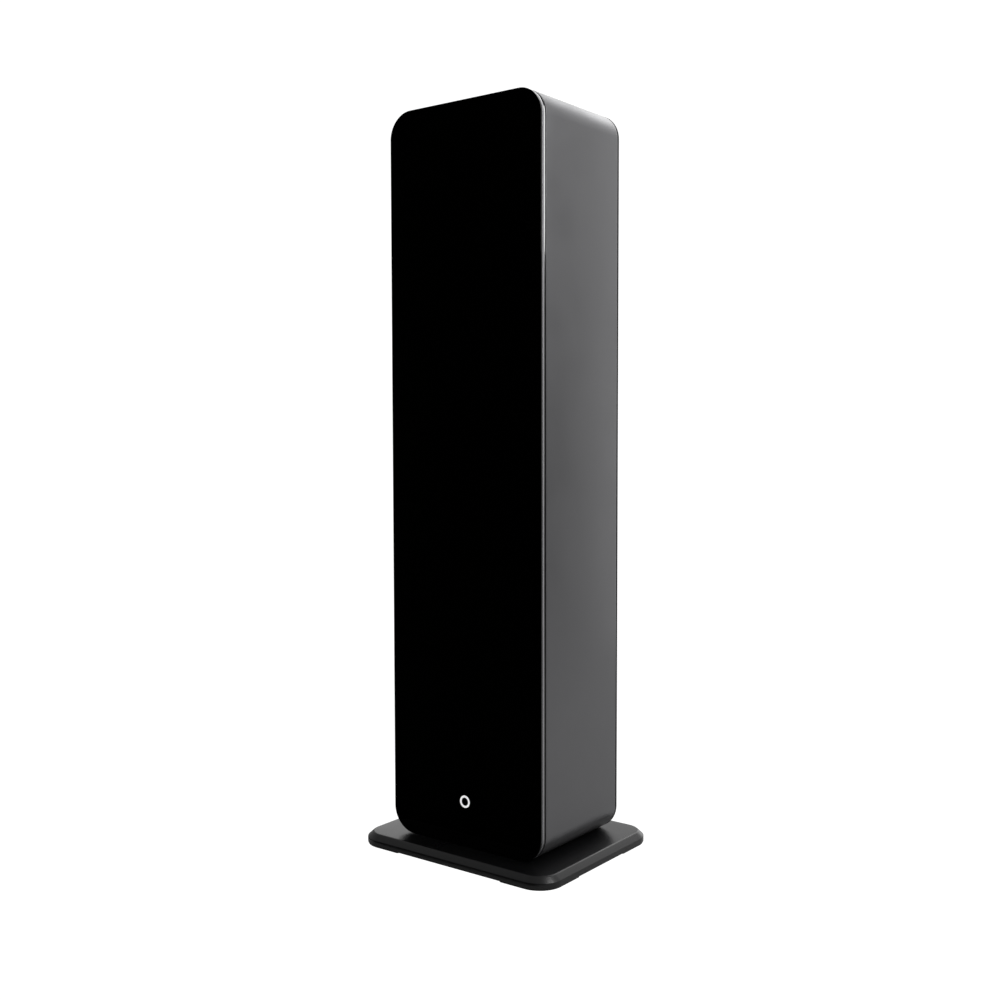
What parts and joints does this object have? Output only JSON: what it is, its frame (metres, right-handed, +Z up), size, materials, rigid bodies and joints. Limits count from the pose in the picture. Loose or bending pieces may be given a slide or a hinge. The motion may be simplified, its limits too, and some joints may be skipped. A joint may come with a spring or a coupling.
{
  "type": "tower air purifier",
  "caption": "Tall slim tower air purifier: glass front, wrap-around sleeve, wide base plate, hinged rear intake door over a filter stack, and a fan that blows out through the top.",
  "frame": {"origin": "centre of the footprint of the base plate, on the floor", "axes": "+Z up, the glass front faces -Y, +X is to the right seen from the front"},
  "size_m": [0.331, 0.269, 1.0345],
  "materials": {
    "glass_black": "gloss black back-painted glass",
    "ring_white": "satin white light guide",
    "sleeve_grey": "satin dark grey anodised",
    "base_black": "satin gloss black moulding",
    "trim_grey": "satin grey anodised",
    "black_plastic": "fine textured black moulding",
    "grey_plastic": "plain grey moulding",
    "black_rubber": "matt black rubber",
    "gasket_black": "gloss black gasket",
    "bright_steel": "zinc plated steel",
    "filter_paper": "pleated white filter paper",
    "carbon": "black granular carbon",
    "filter_mesh": "dark grey nylon mesh",
    "circuit_board": "green solder mask",
    "copper_winding": "enamelled copper"
  },
  "bodies": {
    "tower": {"front_glass": "glass_black", "power_ring": "ring_white", "outer_sleeve": "sleeve_grey", "base_plate": "base_black", "glass_carrier": "trim_grey", "bottom_tray": "black_plastic", "prefilter_frame": "black_plastic", "rear_frame": "black_plastic", "grip_cup": "black_plastic", "inlet_socket": "black_plastic", "air_sensor": "black_plastic", "outlet_grille": "black_plastic", "front_bulkhead": "grey_plastic", "filter_bay_floor": "grey_plastic", "fan_deck": "grey_plastic", "partition": "grey_plastic", "filter_housing": "grey_plastic", "hepa_frame": "grey_plastic", "fan_housing": "grey_plastic", "motor_mount": "grey_plastic", "outlet_duct": "grey_plastic", "foot_front_left": "black_rubber", "foot_front_right": "black_rubber", "foot_rear_left": "black_rubber", "foot_rear_right": "black_rubber", "inlet_lead": "black_rubber", "panel_seal": "gasket_black", "base_weight": "bright_steel", "base_screw_front_left": "bright_steel", "base_screw_front_right": "bright_steel", "base_screw_rear_left": "bright_steel", "base_screw_rear_right": "bright_steel", "panel_clip_left_1": "bright_steel", "panel_clip_left_2": "bright_steel", "panel_clip_left_3": "bright_steel", "panel_clip_right_1": "bright_steel", "panel_clip_right_2": "bright_steel", "panel_clip_right_3": "bright_steel", "hinge_pin_lower": "bright_steel", "hinge_pin_upper": "bright_steel", "door_magnet_lower": "bright_steel", "door_magnet_upper": "bright_steel", "bearing_lower": "bright_steel", "bearing_upper": "bright_steel", "hepa_media": "filter_paper", "carbon_filter": "carbon", "prefilter_mesh": "filter_mesh", "filter_pull_tab": "filter_mesh", "power_supply": "circuit_board", "main_board": "circuit_board", "touch_board": "circuit_board", "motor_stator": "copper_winding"},
    "rear_door": {"rear_door": "black_plastic", "door_strike_lower": "bright_steel", "door_strike_upper": "bright_steel"},
    "fan_rotor": {"motor_rotor": "bright_steel", "motor_shaft": "bright_steel", "impeller": "grey_plastic", "shaft_nut": "bright_steel"}
  },
  "joints": [
    {"name": "rear_door_hinge", "type": "hinge", "parent": "tower", "child": "rear_door", "pos_m": [-0.096, 0.09, 0.436], "axis": [0, 0, 1], "range_deg": [0, 100]},
    {"name": "fan_spin", "type": "hinge", "parent": "tower", "child": "fan_rotor", "pos_m": [0, 0.002, 0.83], "axis": [0, 0, 1], "continuous": true}
  ]
}
